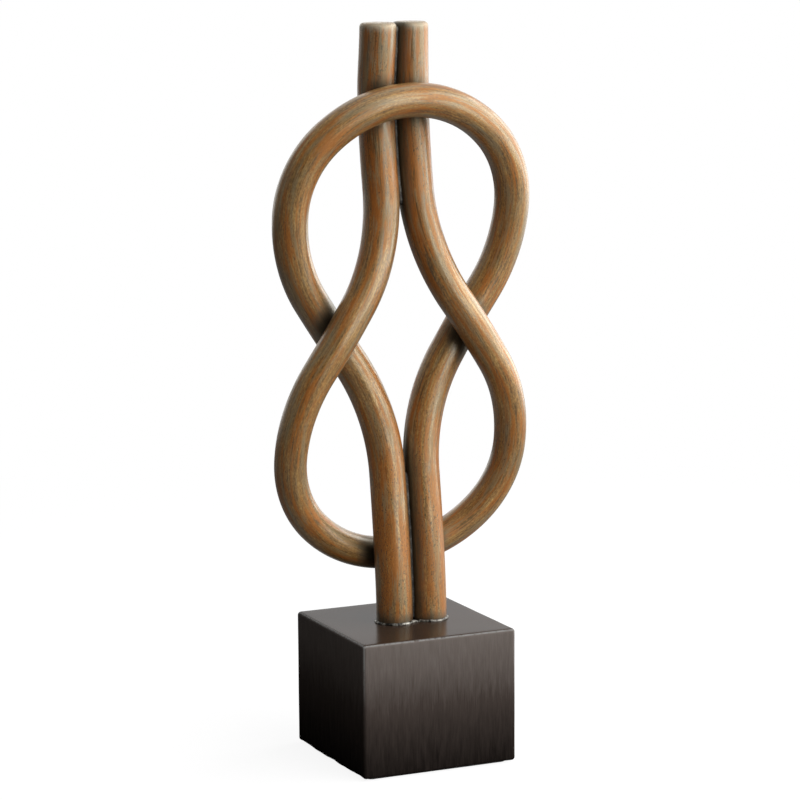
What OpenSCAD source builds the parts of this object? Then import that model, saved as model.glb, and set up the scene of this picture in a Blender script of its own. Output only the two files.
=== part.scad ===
// Knot sculpture: two bent rods interlocked in a square knot, standing on a hollow cast block.
// The upper rod stands on the block with both legs and arches over the top. The lower rod is the same
// bend turned upside down: its two free ends point up and its arch hangs behind the legs.
// Origin: middle of the footprint, on the surface that the felt sheet stands on. Front is -Y.

/* [Block] */
// Width of the block, side to side
block_w = 115; // [90:1:150]
// Depth of the block, front to back
block_d = 115; // [90:1:150]
// Height of the block without its felt sheet
block_h = 94; // [70:1:130]
// Rounding of the block's edges
edge_r = 2.6; // [1.5:0.1:4]
// Thickness of the block's walls
wall = 7; // [5:0.5:12]
// Thickness of the block's roof, which carries the rods
roof = 10; // [7:0.5:16]

/* [Bottom plate] */
// Thickness of the bottom plate
plate_t = 3; // [2:0.5:5]
// Depth of the plate's outer face above the block's lower rim
plate_recess = 1; // [0.5:0.1:2]
// Width of the rim left round the plate
rim_w = 3.5; // [2.5:0.1:5]
// Play between the plate and its rebate, each side
plate_play = 0.3; // [0.1:0.1:0.8]
// Diameter of the cast posts that the plate screws go into
post_d = 14; // [11:0.5:20]
// Height of the cast posts above the plate
post_h = 24; // [16:1:40]
// Distance of the posts from the outside of the block
post_inset = 12.5; // [11:0.5:18]

/* [Plate screws] */
// Thread diameter of the countersunk plate screws
screw_d = 4; // [3:0.5:5]
// Head diameter of the plate screws
screw_head_d = 8; // [6.5:0.5:10]
// Height of the screws' conical head
screw_head_h = 2.2; // [1.5:0.1:3]
// Overall length of the plate screws
screw_len = 16; // [12:1:20]
// Width across the flats of the screws' socket
screw_key = 2.5; // [2:0.5:3]
// Depth of the screws' socket
screw_key_deep = 1.4; // [1:0.1:2]

/* [Felt sheet] */
// Thickness of the felt glued under the bottom plate
felt_t = 2; // [1.6:0.2:4]
// Distance of the felt's edge inside the plate's edge
felt_set_in = 1.2; // [0.5:0.1:3]
// Rounding of the felt's corners
felt_corner_r = 4; // [2:0.5:8]
// Diameter of the holes punched in the felt over the plate screws
felt_hole_d = 10; // [9:0.5:11]

/* [Rods] */
// Diameter of both rods at their straight ends
end_d = 25.4; // [20:0.2:28]
// Diameter of the upper rod at the sides of its loop
upper_side_d = 24.8; // [19:0.2:27]
// Diameter of the upper rod at its crown
upper_crown_d = 23.6; // [19:0.2:27]
// Diameter of the lower rod at the sides of its loop
lower_side_d = 22.6; // [18:0.2:27]
// Diameter of the lower rod at its crown
lower_crown_d = 22.8; // [18:0.2:27]
// Straight length of the upper rod's legs
leg_len = 102.5; // [90:0.5:115]
// Straight length of the lower rod's free ends
free_len = 111; // [98:0.5:122]
// Height of the knot, from the block to the tips of the free ends
knot_h = 413; // [395:1:435]
// Gap between the two straight ends of one rod
twin_gap = 0.6; // [0.4:0.1:1.5]
// Rounding of the free ends' rims
tip_r = 3.2; // [1.5:0.1:5]

/* [Bends] */
// Radius of the bend that spreads the straight ends, along the axis
spread_r = 144; // [125:1:165]
// Angle from upright at which the rods cross
spread_angle = 33.5; // [29:0.5:38]
// Straight run through the crossing
cross_run = 51; // [40:1:65]
// Radius of the loop's side below its widest point
side_r = 110; // [95:1:125]
// Radius of the loop's shoulder
shoulder_r = 71; // [64:1:80]

/* [Depth] */
// Place of the legs' axes behind the middle of the block
leg_y = -1.2; // [-8:0.1:8]
// Place of the free ends' axes behind the middle of the block
free_y = 17.6; // [13:0.1:24]
// Length below the tips over which the free ends stand upright
free_upright = 48; // [30:1:54]
// Step by which the left free end's tip stands in front of the right one's
tip_step = 4.5; // [0:0.1:6]
// Place of the plane where the rods cross, behind the middle of the block
cross_y = 7.2; // [2:0.1:12]
// Place of the knot to the right of the block's middle
knot_x = 4.5; // [0:0.1:10]
// Place of the lower rod to the left of the upper rod
lower_shift = 2.8; // [0:0.1:5]

/* [Welds] */
// Gap between the rods where they cross, filled by the tack welds
weld_gap = 0.3; // [0.2:0.1:0.8]
// Fit between a weld and the rod beside it
weld_seat = 0.1; // [0.05:0.05:0.3]
// Length of the seam between the legs, from the block
leg_seam_len = 103; // [80:1:112]
// Length of the seam between the free ends, from their tips
free_seam_len = 124; // [90:1:132]
// Depth of both seams, front to back
seam_deep = 7; // [5:0.1:14]
// Height and width of the bead round each foot
bead = 1.6; // [0.8:0.1:3]
// Diameter of the tack weld at a crossing
cross_tack_d = 13; // [8:0.5:18]
// Diameter of the tack weld at a crown
crown_tack_d = 9; // [6:0.5:11]

/* [Leg bolts] */
// Thread diameter of the bolts up into the legs
bolt_d = 10; // [8:1:12]
// Width across the flats of the bolts' heads
bolt_flats = 16; // [13:1:18]
// Height of the bolts' heads
bolt_head_h = 6.4; // [5:0.1:8]
// Length of thread inside the leg
bolt_grip = 24; // [16:1:34]
// Clearance round a bolt in the roof, on the diameter
bolt_play = 1; // [0.4:0.1:1.5]
// Outer diameter of the plain washers
washer_d = 20; // [18:0.5:21]
// Thickness of the plain washers
washer_t = 2; // [1.2:0.1:3]
// Outer diameter of the spring washers
spring_washer_d = 17; // [15:0.5:18]
// Thickness of the spring washers
spring_washer_t = 2.2; // [1.5:0.1:3]
// Width of the slit in the spring washers
slit = 1.2; // [0.8:0.1:2]

/* [Hidden] */

// Facets round a rod, rings along half a rod, and facets of true round pieces
rod_sides = 24;
ring_count = 52;
$fn = 64;
// Facets of the block's rounded edges, and of the steps round a tip
edge_sides = 24;
tip_steps = 4;
// Share of the arch's quarter turn that the shoulder takes
shoulder_angle = 45;
// Overrun of every cut past the face it opens
cut = 0.5;
// Play round a thread in its tapped hole, on the diameter, and the free depth past its tip
thread_play = 0.2;
tip_room = 3;
// Depth of a tack weld front to back, as a share of its diameter
tack_deep_share = 0.5;

// Heights of the block's lower rim, the plate's two faces and the block's top
rim_z = felt_t - plate_recess;
plate_z = felt_t;
plate_top = plate_z + plate_t;
block_top = rim_z + block_h;
roof_z = block_top - roof;

// Width and depth of the bottom plate
plate_w = block_w - 2 * (rim_w + plate_play);
plate_d = block_d - 2 * (rim_w + plate_play);

// Half the spacing of the two straight ends of one rod
twin_x = (end_d + twin_gap) / 2;

// Widest half spacing of the loop's axis, and the radius of the crown that closes the loop
bend_x = spread_r * (1 - cos(spread_angle));
run_x = cross_run * sin(spread_angle);
widest_x = twin_x + bend_x + run_x + side_r * (1 - cos(spread_angle));
crown_r = (widest_x - shoulder_r * (1 - cos(shoulder_angle))) / cos(shoulder_angle);

// Height where the crossing runs of the two rods start, and where they meet
upper_run_z = leg_len + spread_r * sin(spread_angle);
lower_run_z = knot_h - free_len - spread_r * sin(spread_angle);
cross_z = (upper_run_z + lower_run_z) / 2;
cross_in = (cross_z - upper_run_z) / cos(spread_angle);

function arc_len(radius, angle) = PI * radius * angle / 180;
function mix(a, b, t) = a + (b - a) * t;
function sum(list, count) = count == 0 ? 0 : list[count - 1][0] + sum(list, count - 1);

// A rod's depth eases from one level to the next with no kink at either
function ease(t) = let (u = min(max(t, 0), 1)) u * u * (3 - 2 * u);
function ease_slope(t) = let (u = min(max(t, 0), 1)) 6 * u * (1 - u);

// The bends of half a rod, from its end to its crown, each as [run, turn outwards]
function bends(straight) = [
    [straight, 0],
    [arc_len(spread_r, spread_angle), spread_angle],
    [cross_run, 0],
    [arc_len(side_r, spread_angle), -spread_angle],
    [arc_len(shoulder_r, shoulder_angle), -shoulder_angle],
    [arc_len(crown_r, 90 - shoulder_angle), shoulder_angle - 90]
];

// A pose is [across, along, heading away from upright]; walk() follows the bends for a given run
function advance(pose, bend, run) =
    let (turn = bend[1] * run / bend[0], heading = pose[2] + turn)
    turn == 0
        ? [pose[0] + run * sin(pose[2]), pose[1] + run * cos(pose[2]), pose[2]]
        : let (radius = 180 * run / (PI * turn))
          [pose[0] + radius * (cos(pose[2]) - cos(heading)),
           pose[1] + radius * (sin(heading) - sin(pose[2])), heading];
function walk(pose, bends, run, i = 0) =
    run <= bends[i][0] || i == len(bends) - 1
        ? advance(pose, bends[i], run)
        : walk(advance(pose, bends[i], bends[i][0]), bends, run - bends[i][0], i + 1);

function cross_at(straight) = straight + arc_len(spread_r, spread_angle) + cross_in;
function crown_at(straight) = sum(bends(straight), len(bends(straight)));
function crown_z(straight) = walk([twin_x, 0, 0], bends(straight), crown_at(straight))[1];
function radius_at(straight, side_d, crown_d, run) = lookup(run, [
    [straight, end_d / 2],
    [sum(bends(straight), 4), side_d / 2],
    [crown_at(straight), crown_d / 2]
]);

// Depth of the axis, and its slope, at a run along one side of a rod. Its levels are those of its end,
// crossing and crown, then the length that stands upright and the step forward of its left tip
function depth_at(straight, levels, run, side) =
    let (upright = levels[3], step = side < 0 && levels[4] > 0 ? levels[4] * ease(1 - run / upright) : 0)
    run < cross_at(straight)
        ? mix(levels[0], levels[1], ease((run - upright) / (cross_at(straight) - upright))) - step
        : mix(levels[1], levels[2],
              ease((run - cross_at(straight)) / (crown_at(straight) - cross_at(straight))));
function slope_at(straight, levels, run, side) =
    let (
        upright = levels[3],
        step = side < 0 && levels[4] > 0 ? levels[4] * ease_slope(1 - run / upright) / upright : 0,
        first = cross_at(straight) - upright,
        rest = crown_at(straight) - cross_at(straight)
    )
    run < cross_at(straight)
        ? (levels[1] - levels[0]) * ease_slope((run - upright) / first) / first + step
        : (levels[2] - levels[1]) * ease_slope((run - cross_at(straight)) / rest) / rest;

// The rods touch, but for the weld gap, at both crossings and where each crown lies on the other's ends
upper_cross_r = radius_at(leg_len, upper_side_d, upper_crown_d, cross_at(leg_len));
lower_cross_r = radius_at(free_len, lower_side_d, lower_crown_d, cross_at(free_len));
upper_cross_y = cross_y + weld_gap / 2 + upper_cross_r;
lower_cross_y = cross_y - weld_gap / 2 - lower_cross_r;

// Level of a crown that rests on the straight ends of the other rod, in front (-1) or behind (1)
function crown_level(own_straight, own_cross_y, own_r, other_straight, other_levels, toward) =
    let (
        angle = asin((twin_x + lower_shift) / crown_r),
        other_run = knot_h - crown_z(own_straight) + crown_r * (1 - cos(angle)),
        lean = slope_at(other_straight, other_levels, other_run, -1),
        apart = (own_r + end_d / 2 + weld_gap) * sqrt(1 + lean * lean),
        touch_y = depth_at(other_straight, other_levels, other_run, -1) + toward * apart,
        reach = arc_len(crown_r, angle) / (crown_at(own_straight) - cross_at(own_straight))
    )
    own_cross_y + (touch_y - own_cross_y) / ease(1 - reach);

upper_crown_y = crown_level(leg_len, upper_cross_y, upper_crown_d / 2, free_len,
                            [free_y, lower_cross_y, lower_cross_y, free_upright, tip_step], -1);
lower_crown_y = crown_level(free_len, lower_cross_y, lower_crown_d / 2, leg_len,
                            [leg_y, upper_cross_y, upper_cross_y, 0, 0], 1);

// A rod is [straight length, side diameter, crown diameter, levels, middle, height of its ends, up or down]
upper = [leg_len, upper_side_d, upper_crown_d, [leg_y, upper_cross_y, upper_crown_y, 0, 0],
         knot_x, block_top, 1];
lower = [free_len, lower_side_d, lower_crown_d,
         [free_y, lower_cross_y, lower_crown_y, free_upright, tip_step],
         knot_x - lower_shift, block_top + knot_h, -1];

// Centre of a rod's axis at a run from the end on one side, left (-1) or right (1)
function axis_at(rod, run, side) =
    let (pose = walk([twin_x, 0, 0], bends(rod[0]), run))
    [rod[4] + side * pose[0], depth_at(rod[0], rod[3], run, side), rod[5] + rod[6] * pose[1]];

// Points round a rod there, from the side that faces the other straight end
function ring(rod, run, side, grow) =
    let (
        pose = walk([twin_x, 0, 0], bends(rod[0]), run),
        slope = slope_at(rod[0], rod[3], run, side),
        ahead = -side * [side * sin(pose[2]), slope, rod[6] * cos(pose[2])],
        inward = [-side * cos(pose[2]), 0, rod[6] * sin(pose[2])],
        round_it = cross(ahead / norm(ahead), inward),
        centre = axis_at(rod, run, side),
        radius = radius_at(rod[0], rod[1], rod[2], run) + grow
    )
    [for (i = [0 : rod_sides - 1])
        let (a = 360 * i / rod_sides)
        centre + radius * (cos(a) * inward + sin(a) * round_it)];

function run_of(rod, i) = mix(0, crown_at(rod[0]), i / ring_count);

// A skin over rings of equal count, closed at both ends
module skin(rings) {
    count = len(rings);
    size = len(rings[0]);
    points = [for (r = rings) each r];
    sides = [for (j = [0 : count - 2], i = [0 : size - 1])
        let (a = j * size + i, b = j * size + (i + 1) % size)
        each [[a, a + size, b], [b, a + size, b + size]]];
    start = [for (i = [0 : size - 1]) i];
    finish = [for (i = [size - 1 : -1 : 0]) (count - 1) * size + i];
    polyhedron(points, concat([start, finish], sides));
}

// Rings of the rounded tip of a free end, from its flat face to its full diameter
function tip_rings(rod, side) = [for (i = [0 : tip_steps - 1])
    let (a = 90 * i / tip_steps)
    ring(rod, tip_r * (1 - cos(a)), side, -tip_r * (1 - sin(a)))];

// Rings of the whole rod, from its left end over the crown to its right end
function rod_rings(rod, rounded) =
    let (
        first = rounded ? ceil(ring_count * tip_r / crown_at(rod[0])) : 0,
        left = [for (i = [first : ring_count]) ring(rod, run_of(rod, i), -1, 0)],
        right = [for (i = [ring_count - 1 : -1 : first]) ring(rod, run_of(rod, i), 1, 0)],
        tip = rounded ? tip_rings(rod, 1) : []
    )
    concat(rounded ? tip_rings(rod, -1) : [], left, right,
           [for (i = [len(tip) - 1 : -1 : 0]) tip[i]]);

// The part of a rod round a run, with the fit that a weld keeps from it
module rod_near(rod, run, side, reach) {
    step = crown_at(rod[0]) / ring_count;
    from = max(floor((run - reach) / step), 0);
    to = min(ceil((run + reach) / step), ring_count);
    order = side < 0 ? [from : to] : [to : -1 : from];
    skin([for (i = order) ring(rod, run_of(rod, i), side, weld_seat)]);
}

// Bolts stand under the two legs
module at_legs() {
    for (side = [-1, 1]) {
        translate([knot_x + side * twin_x, leg_y, 0])
            children();
    }
}

module at_corners(inset) {
    for (x = [-1, 1], y = [-1, 1]) {
        translate([x * (block_w / 2 - inset), y * (block_d / 2 - inset), 0])
            children();
    }
}

// Upper rod: both ends are drilled and tapped for the leg bolts
module upper_loop_rod() {
    color("#9a7448")
        difference() {
            skin(rod_rings(upper, false));
            at_legs()
                translate([0, 0, block_top - cut])
                    cylinder(h = bolt_grip + tip_room + cut, d = bolt_d + thread_play);
        }
}

// Lower rod: hung in the knot, with its free ends up
module lower_loop_rod() {
    color("#8f6a42")
        skin(rod_rings(lower, true));
}

// Seam weld: a web that follows the two straight ends of one rod, hollowed to both
module seam(rod, from, to) {
    step = crown_at(rod[0]) / ring_count;
    inner = [for (i = [ceil(from / step) : floor(to / step)]) i * step];
    middle = (from + to) / 2;
    difference() {
        skin([for (run = concat(from, inner, to))
            let (spot = (axis_at(rod, run, -1) + axis_at(rod, run, 1)) / 2)
            [for (c = [[-1, -1], [1, -1], [1, 1], [-1, 1]])
                spot + [c[0] * twin_x / 2, c[1] * rod[6] * seam_deep / 2, 0]]]);
        for (side = [-1, 1]) {
            rod_near(rod, middle, side, middle);
        }
    }
}

module leg_seam_weld() {
    color("#6f6a60")
        seam(upper, bead + weld_seat, leg_seam_len);
}

module free_end_seam_weld() {
    color("#6f6a60")
        seam(lower, tip_r, free_seam_len);
}

// Tack weld: a plug between two rods, lying along Y, hollowed to both
module tack(at, size) {
    translate(at)
        rotate([90, 0, 0])
            cylinder(h = size * tack_deep_share, d = size, center = true);
}

module crossing_weld(side) {
    rise = -side * lower_shift / (2 * tan(spread_angle));
    upper_at = cross_at(leg_len) + rise / cos(spread_angle);
    lower_at = cross_at(free_len) - rise / cos(spread_angle);
    spot = axis_at(upper, upper_at, side);
    color("#5c554a")
        difference() {
            tack([spot[0], cross_y, spot[2]], cross_tack_d);
            rod_near(upper, upper_at, side, cross_tack_d);
            rod_near(lower, lower_at, side, cross_tack_d);
        }
}

module left_crossing_weld() {
    crossing_weld(-1);
}

module right_crossing_weld() {
    crossing_weld(1);
}

// Tacks where the crown of one rod lies on the straight ends of the other, behind (1) or in front (-1)
module crown_tacks(crowned, straight, behind) {
    shift = (straight[4] - crowned[4]);
    for (side = [-1, 1]) {
        offset = abs(shift + side * twin_x);
        angle = asin(offset / crown_r);
        crown_run = crown_at(crowned[0]) - arc_len(crown_r, angle);
        straight_run = knot_h - crown_z(crowned[0]) + crown_r * (1 - cos(angle));
        spot = axis_at(straight, straight_run, side);
        touch = spot[1] - behind * (end_d + weld_gap) / 2;
        difference() {
            tack([spot[0], touch, spot[2]], crown_tack_d);
            rod_near(crowned, crown_run, side, crown_tack_d);
            rod_near(straight, straight_run, side, crown_tack_d);
        }
    }
}

module upper_crown_tacks() {
    color("#5c554a")
        crown_tacks(upper, lower, 1);
}

module lower_crown_tacks() {
    color("#5c554a")
        crown_tacks(lower, upper, -1);
}

// Bead of weld round both feet, on the block's top
module foot_bead() {
    foot_r = end_d / 2 + weld_seat;
    color("#8c877c")
        difference() {
            at_legs()
                translate([0, 0, block_top])
                    cylinder(h = bead, r1 = foot_r + bead, r2 = foot_r);
            at_legs()
                translate([0, 0, block_top - cut])
                    cylinder(h = bead + 2 * cut, r = foot_r);
        }
}

// Hollow cast block, open below, with four posts for the plate screws
module block_body() {
    round_w = 2 * edge_r;
    translate([0, 0, rim_z + block_h / 2])
        hull() {
            cube([block_w, block_d - round_w, block_h - round_w], center = true);
            cube([block_w - round_w, block_d, block_h - round_w], center = true);
            cube([block_w - round_w, block_d - round_w, block_h], center = true);
            for (z = [-1, 1]) {
                at_corners(edge_r)
                    translate([0, 0, z * (block_h / 2 - edge_r)])
                        sphere(r = edge_r, $fn = edge_sides);
            }
        }
}

module block_shell() {
    hollow_w = block_w - 2 * wall;
    hollow_d = block_d - 2 * wall;
    rebate_w = block_w - 2 * rim_w;
    rebate_d = block_d - 2 * rim_w;
    color("#2e2824")
        difference() {
            block_body();
            difference() {
                translate([-hollow_w / 2, -hollow_d / 2, rim_z - cut])
                    cube([hollow_w, hollow_d, roof_z - rim_z + cut]);
                at_corners(post_inset)
                    translate([0, 0, plate_top])
                        cylinder(h = post_h, d = post_d);
            }
            translate([-rebate_w / 2, -rebate_d / 2, rim_z - cut])
                cube([rebate_w, rebate_d, plate_top - rim_z + cut]);
            at_corners(post_inset)
                translate([0, 0, plate_top - cut])
                    cylinder(h = screw_len - plate_t + tip_room + cut, d = screw_d + thread_play);
            at_legs()
                translate([0, 0, roof_z - cut])
                    cylinder(h = roof + 2 * cut, d = bolt_d + bolt_play);
        }
}

// Hex bolts up through the roof into the legs
bolt_seat = roof_z - washer_t - spring_washer_t;

module leg_bolts() {
    color("#a8aaac")
        at_legs() {
            translate([0, 0, bolt_seat - bolt_head_h])
                cylinder(h = bolt_head_h, d = bolt_flats / cos(30), $fn = 6);
            translate([0, 0, bolt_seat - cut])
                cylinder(h = block_top - bolt_seat + bolt_grip + cut, d = bolt_d);
        }
}

module spring_washers() {
    color("#8e9092")
        at_legs()
            translate([0, 0, bolt_seat])
                difference() {
                    cylinder(h = spring_washer_t, d = spring_washer_d);
                    translate([0, 0, -cut])
                        cylinder(h = spring_washer_t + 2 * cut, d = bolt_d + thread_play);
                    translate([0, -slit / 2, -cut])
                        cube([spring_washer_d, slit, spring_washer_t + 2 * cut]);
                }
}

module plain_washers() {
    color("#b4b6b8")
        at_legs()
            translate([0, 0, roof_z - washer_t])
                difference() {
                    cylinder(h = washer_t, d = washer_d);
                    translate([0, 0, -cut])
                        cylinder(h = washer_t + 2 * cut, d = bolt_d + bolt_play);
                }
}

// Bottom plate, let into the block's rim and countersunk for its screws
module bottom_plate() {
    color("#3a3634")
        difference() {
            translate([-plate_w / 2, -plate_d / 2, plate_z])
                cube([plate_w, plate_d, plate_t]);
            at_corners(post_inset) {
                translate([0, 0, plate_z - cut])
                    cylinder(h = plate_t + 2 * cut, d = screw_d + bolt_play);
                translate([0, 0, plate_z])
                    cylinder(h = screw_head_h + thread_play,
                             d1 = screw_head_d + 2 * thread_play, d2 = screw_d + thread_play);
                translate([0, 0, plate_z - cut])
                    cylinder(h = cut, d = screw_head_d + 2 * thread_play);
            }
        }
}

module plate_screws() {
    color("#6d6f72")
        at_corners(post_inset)
            translate([0, 0, plate_z])
                difference() {
                    union() {
                        cylinder(h = screw_head_h, d1 = screw_head_d, d2 = screw_d);
                        cylinder(h = screw_len, d = screw_d);
                    }
                    translate([0, 0, -cut])
                        cylinder(h = screw_key_deep + cut, d = screw_key / cos(30), $fn = 6);
                }
}

// Felt sheet, glued to the plate and punched over its screws
module felt_sheet() {
    across = plate_w - 2 * (felt_set_in + felt_corner_r);
    along = plate_d - 2 * (felt_set_in + felt_corner_r);
    color("#4a4643")
        difference() {
            linear_extrude(height = felt_t)
                union() {
                    square([across, along + 2 * felt_corner_r], center = true);
                    square([across + 2 * felt_corner_r, along], center = true);
                    for (x = [-1, 1], y = [-1, 1]) {
                        translate([x * across / 2, y * along / 2])
                            circle(r = felt_corner_r);
                    }
                }
            at_corners(post_inset)
                translate([0, 0, -cut])
                    cylinder(h = felt_t + 2 * cut, d = felt_hole_d);
        }
}

upper_loop_rod();
lower_loop_rod();
leg_seam_weld();
free_end_seam_weld();
left_crossing_weld();
right_crossing_weld();
upper_crown_tacks();
lower_crown_tacks();
foot_bead();
block_shell();
leg_bolts();
spring_washers();
plain_washers();
bottom_plate();
plate_screws();
felt_sheet();
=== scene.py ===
from math import cos, pi, radians, sin, tau

import bmesh
import bpy
import numpy as np
from mathutils import Matrix, Vector, noise
from mathutils.kdtree import KDTree


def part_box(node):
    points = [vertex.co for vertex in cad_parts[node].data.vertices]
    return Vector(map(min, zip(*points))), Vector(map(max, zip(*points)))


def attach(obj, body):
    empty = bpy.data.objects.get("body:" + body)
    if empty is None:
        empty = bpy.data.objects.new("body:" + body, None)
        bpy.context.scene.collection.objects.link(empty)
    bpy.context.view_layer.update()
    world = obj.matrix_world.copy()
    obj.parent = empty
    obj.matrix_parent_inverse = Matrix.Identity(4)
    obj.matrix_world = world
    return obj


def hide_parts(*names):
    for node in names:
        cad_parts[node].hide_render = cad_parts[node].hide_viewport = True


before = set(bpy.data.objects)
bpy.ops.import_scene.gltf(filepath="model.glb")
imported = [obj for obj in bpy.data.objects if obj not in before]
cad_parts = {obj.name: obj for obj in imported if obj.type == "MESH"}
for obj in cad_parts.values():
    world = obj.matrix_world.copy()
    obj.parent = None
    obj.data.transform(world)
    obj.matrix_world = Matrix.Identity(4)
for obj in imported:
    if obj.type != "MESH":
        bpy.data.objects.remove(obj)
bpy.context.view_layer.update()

# Upper loop rod
# A round cast bar bent by hand to a loop. Both ends stand side by side on the block, it passes behind the
# other rod at both crossings and arches over in front of that rod's free ends. Its feet are tapped for bolts.
mm = 0.001
block_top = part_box("block_shell")[1].z
tips_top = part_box("lower_loop_rod")[1].z

end_d = 25.4 * mm
twin_x = (end_d + 0.6 * mm) / 2
leg_len = 102.5 * mm
free_len = 111 * mm
spread_r = 144 * mm
spread_turn = radians(33.5)
cross_run = 51 * mm
side_r = 110 * mm
shoulder_r = 71 * mm
shoulder_turn = radians(45)
widest_x = twin_x + (spread_r + side_r) * (1 - cos(spread_turn)) + cross_run * sin(spread_turn)
crown_r = (widest_x - shoulder_r * (1 - cos(shoulder_turn))) / cos(shoulder_turn)
spread_rise = 2 * spread_r * sin(spread_turn)
cross_in = (tips_top - block_top - leg_len - free_len - spread_rise) / 2 / cos(spread_turn)


def smooth(share):
    share = np.clip(share, 0, 1)
    return share * share * (3 - 2 * share)


class Rod:
    """A bent rod that rises from its ends (up = 1) or hangs from them (up = -1). A place on it is the length
    along its axis from its left end, so its right end is at twice its half. Its levels are the depths of its
    ends, crossings and crown, then the length that stands upright and the step forward of its left end."""

    def __init__(self, straight, diameters, levels, middle, ends_z, up):
        self.bends = [
            (straight, 0),
            (spread_r * spread_turn, spread_turn),
            (cross_run, 0),
            (side_r * spread_turn, -spread_turn),
            (shoulder_r * shoulder_turn, -shoulder_turn),
            (crown_r * (pi / 2 - shoulder_turn), shoulder_turn - pi / 2),
        ]
        self.straight = straight
        self.crossing = straight + spread_r * spread_turn + cross_in
        self.widest = sum(length for length, turn in self.bends[:4])
        self.half = sum(length for length, turn in self.bends)
        self.radii = np.array(diameters) / 2
        self.levels, self.middle, self.ends_z, self.up = levels, middle, ends_z, up

    def from_end(self, place):
        return np.minimum(place, 2 * self.half - place)

    def radius(self, place):
        return np.interp(self.from_end(place), [self.straight, self.widest, self.half], self.radii)

    def line(self, place):
        """Points of the rod's axis."""
        run = self.from_end(place)
        side = np.where(place < self.half, -1.0, 1.0)
        across, along = np.zeros_like(run), np.zeros_like(run)
        x, z, heading, start = twin_x, 0.0, 0.0, 0.0
        for length, turn in self.bends:
            here = run >= start
            part = np.minimum(run[here] - start, length)
            bend_r = length / turn if turn else 0
            aim = heading + (part / bend_r if turn else 0 * part)
            across[here] = x + (bend_r * (cos(heading) - np.cos(aim)) if turn else part * sin(heading))
            along[here] = z + (bend_r * (np.sin(aim) - sin(heading)) if turn else part * cos(heading))
            x += bend_r * (cos(heading) - cos(heading + turn)) if turn else length * sin(heading)
            z += bend_r * (sin(heading + turn) - sin(heading)) if turn else length * cos(heading)
            heading += turn
            start += length
        end_y, cross_y, crown_y, upright, step = self.levels
        depth = end_y + (cross_y - end_y) * smooth((run - upright) / (self.crossing - upright))
        depth += (crown_y - cross_y) * smooth((run - self.crossing) / (self.half - self.crossing))
        if step:
            depth -= np.where(side < 0, step * smooth(1 - run / upright), 0)
        return np.stack([self.middle + side * across, depth, self.ends_z + self.up * along], axis=1)

    def rings(self, place, inset, angles):
        """Rings of points round the axis, each set in from the rod's full radius, and the same points as
        they lie on the straight bar that the rod was bent from."""
        step = 0.1 * mm
        ahead = self.line(np.minimum(place + step, 2 * self.half)) - self.line(np.maximum(place - step, 0))
        inward = np.stack([ahead[:, 2], 0 * ahead[:, 0], -ahead[:, 0]], axis=1)
        beside = np.cross(ahead, inward)
        inward /= np.linalg.norm(inward, axis=1)[:, None]
        beside /= np.linalg.norm(beside, axis=1)[:, None]
        radius = np.broadcast_to((self.radius(place) - inset)[:, None], (len(place), len(angles)))
        bar = np.stack([
            radius * np.cos(angles), radius * np.sin(angles), place[:, None] + 0 * radius], axis=2)
        radius = radius - hand_dents(bar)
        out = np.cos(angles)[None, :, None] * inward[:, None]
        out = out + np.sin(angles)[None, :, None] * beside[:, None]
        return self.line(place)[:, None] + radius[:, :, None] * out, bar


def hand_dents(bar, deep=0.22 * mm, wide=11 * mm, long=38 * mm):
    """How deep the cast bar's surface lies below a true round, from its flats and hammer dents."""
    spots = bar.reshape(-1, 3) / [wide, wide, long]
    return deep * np.array([0.5 + 0.5 * noise.noise(spot) for spot in spots]).reshape(bar.shape[:2])


cross_y = 7.2 * mm
weld_gap = 0.3 * mm


def cross_radius(straight, side_d):
    """Radius of a rod where it crosses the other."""
    crossing = straight + spread_r * spread_turn + cross_in
    widest = straight + (spread_r + side_r) * spread_turn + cross_run
    return (end_d + (side_d - end_d) * (crossing - straight) / (widest - straight)) / 2


upper_side_d, upper_crown_d = 24.8 * mm, 23.6 * mm
upper_end_y = -1.2 * mm
upper_low, upper_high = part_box("upper_loop_rod")
upper = Rod(
    leg_len, [end_d, upper_side_d, upper_crown_d],
    [upper_end_y, cross_y + weld_gap / 2 + cross_radius(leg_len, upper_side_d),
     upper_low.y + upper_crown_d / 2, 0, 0],
    (upper_low.x + upper_high.x) / 2, block_top, 1)
lower_side_d, lower_crown_d = 22.6 * mm, 22.8 * mm
lower_end_y = 17.6 * mm
upright_len = 48 * mm
tip_step = 4.5 * mm
lower_low, lower_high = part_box("lower_loop_rod")
lower = Rod(
    free_len, [end_d, lower_side_d, lower_crown_d],
    [lower_end_y, cross_y - weld_gap / 2 - cross_radius(free_len, lower_side_d),
     lower_high.y - lower_crown_d / 2, upright_len, tip_step],
    (lower_low.x + lower_high.x) / 2, tips_top, -1)


def mesh_piece(name, points, faces):
    """A new smooth object of those points and faces, its faces turned outwards."""
    mesh = bpy.data.meshes.new(name)
    mesh.from_pydata(np.asarray(points).reshape(-1, 3).tolist(), [], faces)
    work = bmesh.new()
    work.from_mesh(mesh)
    bmesh.ops.recalc_face_normals(work, faces=work.faces)
    work.to_mesh(mesh)
    work.free()
    mesh.shade_smooth()
    piece = bpy.data.objects.new(name, mesh)
    bpy.context.scene.collection.objects.link(piece)
    return piece


def tube_faces(count, size, closed=False):
    """Quads between rings of points. An open tube gets a cap on each end, a closed one meets itself."""
    index = np.arange(count * size).reshape(count, size)
    last = index if closed else index[:-1]
    after = np.roll(index, -1, axis=0) if closed else index[1:]
    quads = np.stack([last, after, np.roll(after, -1, axis=1), np.roll(last, -1, axis=1)], axis=-1)
    caps = [] if closed else [index[0].tolist(), index[-1][::-1].tolist()]
    return quads.reshape(-1, 4).tolist() + caps


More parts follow.
